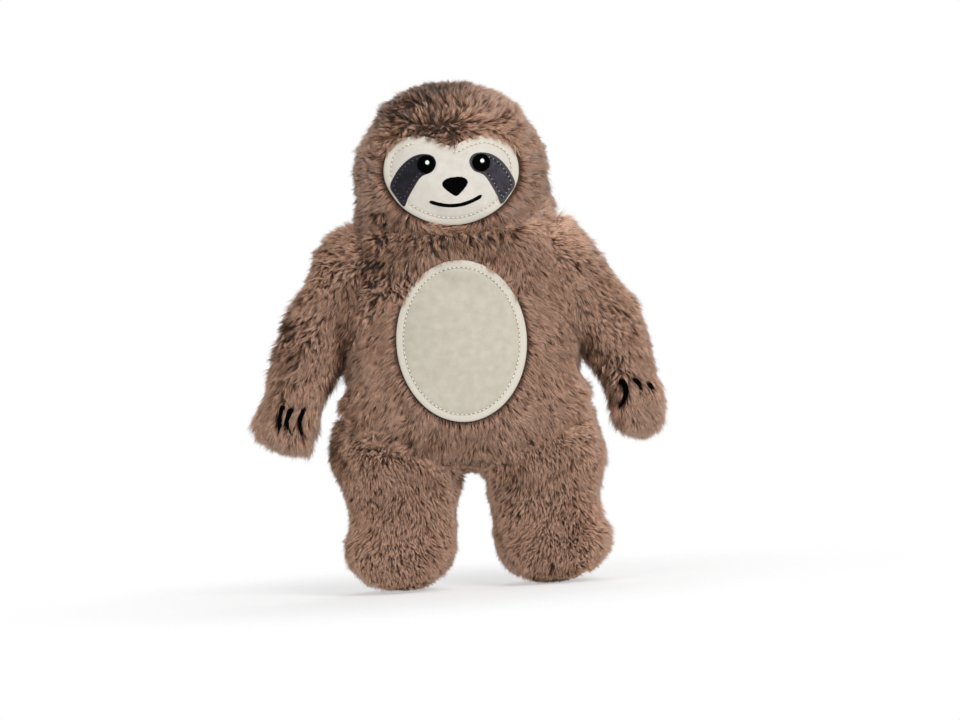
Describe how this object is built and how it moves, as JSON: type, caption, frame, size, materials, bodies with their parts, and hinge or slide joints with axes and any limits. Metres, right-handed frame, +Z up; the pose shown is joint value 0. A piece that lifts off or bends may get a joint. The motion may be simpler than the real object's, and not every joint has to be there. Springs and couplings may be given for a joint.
{
  "type": "plush sloth",
  "caption": "Stuffed plush sloth with short fur, felt face and belly patches, embroidered face and claws, and soft hinged head, arms and legs.",
  "frame": {"origin": "centre of the toy's footprint, on the surface that it stands on", "axes": "+Z up, -Y to the front that the face looks to, +X to the toy's own left"},
  "size_m": [0.2784, 0.1093, 0.3454],
  "materials": {
    "taupe_plush_fabric": "knitted plush with a short clumped pile",
    "white_fibre_filling": "loose polyester fibre, closed in",
    "cream_felt": "pressed felt, matte",
    "charcoal_felt": "pressed felt, matte",
    "black_thread": "satin stitch, slight sheen",
    "white_thread": "satin stitch, slight sheen"
  },
  "bodies": {
    "torso": {"torso_front_panel": "taupe_plush_fabric", "torso_back_panel": "taupe_plush_fabric", "torso_stuffing": "white_fibre_filling", "belly_patch": "cream_felt"},
    "head": {"head_front_panel": "taupe_plush_fabric", "head_back_panel": "taupe_plush_fabric", "head_stuffing": "white_fibre_filling", "face_patch": "cream_felt", "left_eye_patch": "charcoal_felt", "right_eye_patch": "charcoal_felt", "left_eye": "black_thread", "right_eye": "black_thread", "left_eye_highlight": "white_thread", "right_eye_highlight": "white_thread", "nose": "black_thread", "mouth": "black_thread"},
    "left_arm": {"left_arm_front_panel": "taupe_plush_fabric", "left_arm_back_panel": "taupe_plush_fabric", "left_arm_stuffing": "white_fibre_filling", "left_claw_1": "black_thread", "left_claw_2": "black_thread", "left_claw_3": "black_thread"},
    "right_arm": {"right_arm_front_panel": "taupe_plush_fabric", "right_arm_back_panel": "taupe_plush_fabric", "right_arm_stuffing": "white_fibre_filling", "right_claw_1": "black_thread", "right_claw_2": "black_thread", "right_claw_3": "black_thread"},
    "left_leg": {"left_leg_front_panel": "taupe_plush_fabric", "left_leg_back_panel": "taupe_plush_fabric", "left_leg_stuffing": "white_fibre_filling"},
    "right_leg": {"right_leg_front_panel": "taupe_plush_fabric", "right_leg_back_panel": "taupe_plush_fabric", "right_leg_stuffing": "white_fibre_filling"}
  },
  "joints": [
    {"name": "neck_turn", "type": "hinge", "parent": "torso", "child": "head", "pos_m": [0, 0.00665, 0.245], "axis": [0, 0, 1], "range_deg": [-30, 30], "stiffness_Nm_per_rad": 0.3},
    {"name": "left_shoulder_swing", "type": "hinge", "parent": "torso", "child": "left_arm", "pos_m": [0.0655, 0.00665, 0.2167], "axis": [-0.9736, 0, -0.2284], "range_deg": [-50, 100], "stiffness_Nm_per_rad": 0.15},
    {"name": "right_shoulder_swing", "type": "hinge", "parent": "torso", "child": "right_arm", "pos_m": [-0.0655, 0.00665, 0.2167], "axis": [-0.9736, 0, 0.2284], "range_deg": [-50, 100], "stiffness_Nm_per_rad": 0.15},
    {"name": "left_hip_swing", "type": "hinge", "parent": "torso", "child": "left_leg", "pos_m": [0.05, 0.00665, 0.091], "axis": [-0.9613, 0, -0.2756], "range_deg": [-15, 40], "stiffness_Nm_per_rad": 1.5},
    {"name": "right_hip_swing", "type": "hinge", "parent": "torso", "child": "right_leg", "pos_m": [-0.05, 0.00665, 0.091], "axis": [-0.9613, 0, 0.2756], "range_deg": [-15, 40], "stiffness_Nm_per_rad": 1.5}
  ]
}
